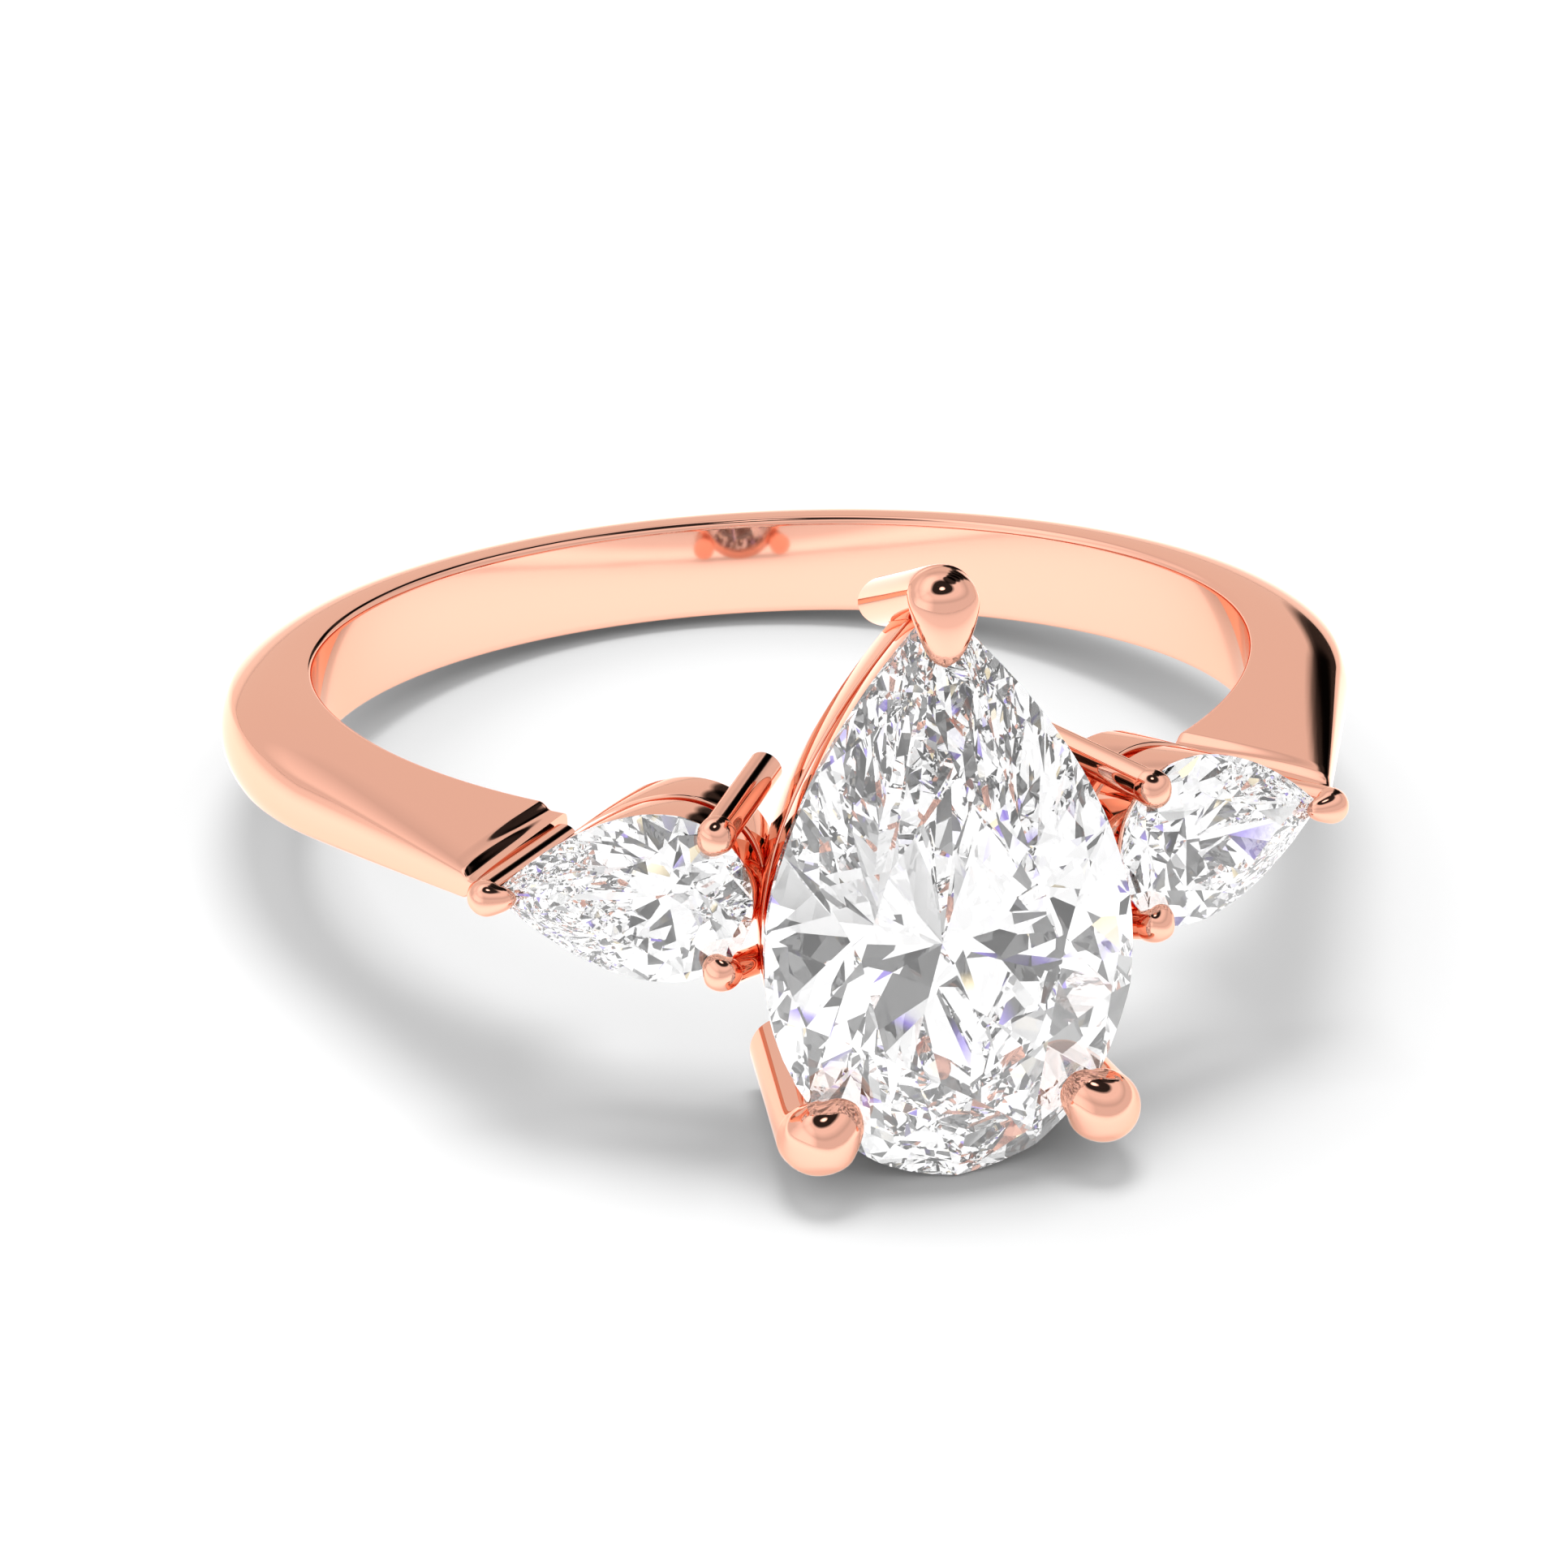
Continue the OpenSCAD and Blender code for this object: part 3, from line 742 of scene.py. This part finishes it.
def claw_ring(pear, claw, out, height, slope, grown):
    """One ring of a claw, in the plane of the outline's normal and the stone's face."""
    n = pear_normal(claw.step, pear)
    across = Vector((n.x * cos(slope), n.y * cos(slope), sin(slope)))
    beside = Vector((n.y, -n.x, 0)) * (claw.width / claw.thickness)
    middle = pear_point(claw.step, pear) + n * out + Vector((0, 0, height))
    r = claw.thickness / 2 * grown
    turns = [2 * pi * k / CLAW_SIDES for k in range(CLAW_SIDES)]
    return [middle + beside * (r * cos(t)) + across * (r * sin(t)) for t in turns]


def clear_of_stone(obj, node, gap):
    """Pushes a claw's points out of its stone, so that the metal beds on the facets."""
    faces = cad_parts[node].data.polygons
    normals = np.array([f.normal[:] for f in faces])
    levels = np.einsum("ij,ij->i", normals, np.array([f.center[:] for f in faces]))
    points = np.array([v.co[:] for v in obj.data.vertices])
    height = points @ normals.T - levels
    nearest = height.argmax(axis=1)
    short = gap - height.max(axis=1)
    moved = points + normals[nearest] * np.maximum(short, 0)[:, None]
    obj.data.vertices.foreach_set("co", moved.ravel())
    obj.data.update()


def claws_of(side):
    """The three claws of a stone, by name."""
    b, s = settings("ring_baskets"), settings("ring_stones")
    if side == "centre":
        foot = s.centre_lift - FOOT_GAP
        point = Claw(0, b.point_claw_t, b.point_claw_w, b.point_claw_t * LEG_SHARE,
                     b.point_claw_reach, foot, b.point_claw_lean)
        end = Claw(CENTRE_CLAW_STEP, b.centre_claw_d, b.centre_claw_d, b.centre_claw_d * LEG_SHARE,
                   b.centre_claw_reach, foot, b.centre_lean)
        return {"point": point, "right": end, "left": end._replace(step=MAINS - end.step)}
    point = Claw(0, b.side_point_claw_d, b.side_point_claw_d, LEG_OUT,
                 b.side_point_claw_reach, s.side_lift - 2 * FOOT_GAP, b.side_tip_lean)
    end = Claw(SIDE_CLAW_STEP, b.side_claw_d, b.side_claw_w, b.side_claw_d * LEG_SHARE,
               b.side_claw_reach, b.top_rail_h + b.rail_gap + b.base_rail_h - CHAMFER,
               -b.side_claw_splay)
    return {"point": point, "lower": end, "upper": end._replace(step=MAINS - end.step)}


class RING_OT_build_claws(bpy.types.Operator):
    """Builds the three claws of each stone"""
    bl_idname = "ring.build_claws"
    bl_label = "Claws"

    def execute(self, context):
        for side in ("centre", "left", "right"):
            pear = centre_pear() if side == "centre" else side_pear()
            for name, claw in claws_of(side).items():
                rings = [claw_ring(pear, claw, *station)
                         for station in smooth_path(claw_path(claw), CLAW_RINGS)]
                bar = skin(f"{side}_prong_{name}", rings, False)
                settle(bar, place_of(side))
                carve(bar, basket_space(side, 0))
                if side != "centre":
                    carve(bar, basket_space("centre", settings("ring_baskets").seat_gap))
                clear_of_stone(bar, f"{side}_stone", settings("ring_baskets").seat_gap)
                polish(bar, f"{side}_{name}_claw", rose_gold())
        return {"FINISHED"}


# ---------------------------------------------------------------- stones
class RING_OT_finish_stones(bpy.types.Operator):
    """Gives the three stones their flat facets and their material"""
    bl_idname = "ring.finish_stones"
    bl_label = "Stones"

    def execute(self, context):
        for side in ("centre", "left", "right"):
            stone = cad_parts[f"{side}_stone"]
            stone.data.attributes.remove(stone.data.attributes["custom_normal"])
            stone.data.shade_flat()
            stone.data.materials.clear()
            stone.data.materials.append(diamond())
        return {"FINISHED"}


# ---------------------------------------------------------------- stage
FLOOR_SIZE = 3.0
KEY_PLACE = (0.0, 0.02, 0.25)   # in metres from the ring's middle
KEY_SIZE = 0.12
CAMERA_AIM = Vector((-0.131, -0.742, -1.415)) * MM
MOST_BOUNCES = 40
STONE_BOUNCES = 32   # reflections and refractions inside a stone
PATCH_EDGE = 0.004   # softness of a patch's edge, in the cosine
# Brightness of the surroundings by the sine of the height above the horizon
WALLS = [(0, 0.92), (0.35, 0.92), (0.5, 0.75), (0.75, 1.1), (0.88, 1.1), (0.93, 0.03), (1, 0.03)]
# Patches in them: azimuth, elevation and half size in degrees, level, and softness of the edge
PATCHES = [
    (148, 5, 10, 0.04),
    (146, 17, 11, 0.04),
    (143, 30, 12, 0.04),
    (140, 43, 12, 0.04),
    (140, 57, 12, 0.04),
    (-80, 8, 36, 1.6, 0.14),
    (-142, 42, 25, 1.4, 0.06),
    (0, 90, 5, 100),
]
# What the stones show instead: a noise, and its tones from dark through white with coloured rims
SPARKLE_SCALE = 5.5
SPARKLE = [
    (0, (0.01, 0.01, 0.01)),
    (0.45, (0.01, 0.01, 0.01)),
    (0.457, (0.3, 0.18, 0.9)),
    (0.466, (1.15, 1.15, 1.15)),
    (0.572, (1.15, 1.15, 1.15)),
    (0.579, (1.15, 0.95, 0.55)),
    (0.586, (0.04, 0.04, 0.04)),
    (1, (0.02, 0.02, 0.02)),
]


def add_lamp(name, place, size, power):
    """A soft square lamp aimed at the ring."""
    data = bpy.data.lights.new(name, "AREA")
    data.shape = "RECTANGLE"
    data.size = data.size_y = size
    data.energy = power
    lamp = bpy.data.objects.new(name, data)
    lamp.location = place
    lamp.rotation_mode = "QUATERNION"
    lamp.rotation_quaternion = (-Vector(place)).to_track_quat("-Z", "Y")
    bpy.context.scene.collection.objects.link(lamp)
    return lamp


def towards(a, e):
    """Direction at an azimuth, counted from -Y towards +X, and an elevation."""
    return Vector((sin(a) * cos(e), -cos(a) * cos(e), sin(e)))


def patch(tree, azimuth, elevation, size, level, soft=PATCH_EDGE):
    """One round patch of the surroundings, as a level that is 1 outside it."""
    place = tree.nodes.new("ShaderNodeTexCoord")
    dot = tree.nodes.new("ShaderNodeVectorMath")
    dot.operation = "DOT_PRODUCT"
    dot.inputs[1].default_value = towards(radians(azimuth), radians(elevation))
    tree.links.new(place.outputs["Generated"], dot.inputs[0])
    edge = cos(radians(size))
    return ramp(tree, dot.outputs["Value"], [(edge - soft, grey(1)), (edge + soft, grey(level))])


def sparkle(tree):
    """The surroundings as the stones show them, with coloured rims for their fire."""
    spots = add_noise(tree, SPARKLE_SCALE, 2)
    place = tree.nodes.new("ShaderNodeTexCoord")
    tree.links.new(place.outputs["Generated"], spots.inputs["Vector"])
    return ramp(tree, spots.outputs["Fac"], SPARKLE)


def build_surroundings(studio):
    """Pale studio walls under a dark ceiling with a small bright opening."""
    world = bpy.data.worlds.new("studio")
    bpy.context.scene.world = world
    world.use_nodes = True
    tree = world.node_tree
    background = tree.nodes["Background"]
    background.inputs["Strength"].default_value = studio.sky
    place = tree.nodes.new("ShaderNodeTexCoord")
    split = tree.nodes.new("ShaderNodeSeparateXYZ")
    tree.links.new(place.outputs["Generated"], split.inputs["Vector"])
    level = ramp(tree, split.outputs["Z"], [(height, grey(tone)) for height, tone in WALLS])
    for spot in PATCHES:
        level = product(tree, level, patch(tree, *spot))
    tree.links.new(level, background.inputs["Color"])
    through_stones = tree.nodes.new("ShaderNodeBackground")
    through_stones.inputs["Strength"].default_value = studio.sky
    tree.links.new(sparkle(tree), through_stones.inputs["Color"])
    rays = tree.nodes.new("ShaderNodeLightPath")
    both = tree.nodes.new("ShaderNodeMixShader")
    tree.links.new(rays.outputs["Is Transmission Ray"], both.inputs["Fac"])
    tree.links.new(background.outputs["Background"], both.inputs[1])
    tree.links.new(through_stones.outputs["Background"], both.inputs[2])
    tree.links.new(both.outputs["Shader"], tree.nodes["World Output"].inputs["Surface"])


class RING_OT_build_stage(bpy.types.Operator):
    """Builds the floor, the lights and the camera"""
    bl_idname = "ring.build_stage"
    bl_label = "Stage"

    def execute(self, context):
        low, high = CAD_BOX
        mesh = bpy.data.meshes.new("floor")
        s = FLOOR_SIZE / 2
        mesh.from_pydata([(-s, -s, low.z), (s, -s, low.z), (s, s, low.z), (-s, s, low.z)], [],
                         [(0, 1, 2, 3)])
        floor = bpy.data.objects.new("floor", mesh)
        floor.data.materials.append(floor_finish())
        context.scene.collection.objects.link(floor)

        studio = context.scene.ring_studio
        key = add_lamp("key", KEY_PLACE, KEY_SIZE, studio.key_power)
        key.visible_glossy = False
        key.visible_transmission = False
        build_surroundings(studio)

        data = bpy.data.cameras.new("camera")
        data.sensor_width = 36
        data.lens = studio.lens
        data.clip_start, data.clip_end = 0.01, 10
        camera = bpy.data.objects.new("camera", data)
        context.scene.collection.objects.link(camera)
        back = towards(studio.azimuth, studio.elevation)
        look = (-back).to_track_quat("-Z", "Y").to_matrix().to_4x4()
        camera.matrix_world = (Matrix.Translation(CAMERA_AIM + back * studio.distance) @ look
                               @ Matrix.Rotation(studio.roll, 4, "Z"))
        context.scene.camera = camera
        context.scene.view_settings.view_transform = "Standard"
        light_paths = context.scene.cycles
        light_paths.max_bounces = MOST_BOUNCES
        light_paths.glossy_bounces = STONE_BOUNCES
        light_paths.transmission_bounces = STONE_BOUNCES
        light_paths.caustics_reflective = False
        light_paths.caustics_refractive = False
        return {"FINISHED"}


# ---------------------------------------------------------------- panel
GROUPS = {"ring_band": BandSizes, "ring_stones": StoneSizes, "ring_baskets": BasketSizes,
          "ring_finishes": Finishes, "ring_studio": Studio}
OPERATORS = (RING_OT_build_band, RING_OT_build_rails, RING_OT_build_claws,
             RING_OT_finish_stones, RING_OT_build_stage)


class RING_PT_panel(bpy.types.Panel):
    """Lists the ring's pieces and their settings"""
    bl_idname = "RING_PT_panel"
    bl_label = "Engagement ring"
    bl_space_type = "VIEW_3D"
    bl_region_type = "UI"
    bl_category = "Ring"

    def draw(self, context):
        for operator in OPERATORS:
            self.layout.operator(operator.bl_idname)
        for name, group in GROUPS.items():
            box = self.layout.box()
            box.label(text=group.__doc__)
            for key in group.__annotations__:
                box.prop(getattr(context.scene, name), key)


def register():
    """Registers the settings, the operators and the panel."""
    for cls in (*GROUPS.values(), *OPERATORS, RING_PT_panel):
        bpy.utils.register_class(cls)
    for name, group in GROUPS.items():
        setattr(bpy.types.Scene, name, bpy.props.PointerProperty(type=group))


def unregister():
    """Removes what register added."""
    for name in GROUPS:
        delattr(bpy.types.Scene, name)
    for cls in reversed((*GROUPS.values(), *OPERATORS, RING_PT_panel)):
        bpy.utils.unregister_class(cls)


def main():
    """Builds the ring."""
    register()
    bpy.ops.ring.build_band()
    bpy.ops.ring.build_rails()
    bpy.ops.ring.build_claws()
    bpy.ops.ring.finish_stones()
    bpy.ops.ring.build_stage()


if __name__ == "__main__":
    main()
